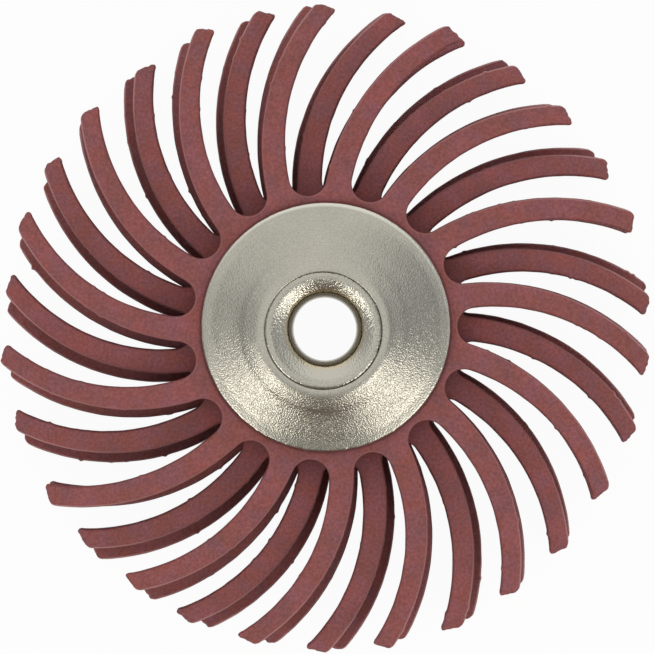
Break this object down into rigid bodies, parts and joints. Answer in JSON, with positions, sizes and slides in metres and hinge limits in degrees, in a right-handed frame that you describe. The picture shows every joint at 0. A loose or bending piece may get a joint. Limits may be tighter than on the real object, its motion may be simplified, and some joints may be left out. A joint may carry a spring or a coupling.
{
  "type": "radial bristle brush",
  "caption": "Small radial bristle brush: stacked moulded abrasive discs with curved bristles, clamped on a metal hub with a through bore for a mandrel.",
  "frame": {"origin": "brush axis at the flat outer face of the hub's rear flange, on which the brush lies", "axes": "+Z along the brush axis from the rear flange to the rolled front lip; the bristles curl clockwise seen from +Z"},
  "size_m": [0.0258, 0.0258, 0.0066],
  "materials": {
    "hub_metal": "satin nickel plate, fine mottled grain",
    "bristle": "matt maroon elastomer filled with fine abrasive grain"
  },
  "bodies": {
    "root": {"eyelet": "hub_metal", "front_washer": "hub_metal", "bristle_disc_1": "bristle", "bristle_disc_2": "bristle", "bristle_disc_3": "bristle", "bristle_disc_4": "bristle"}
  },
  "joints": []
}
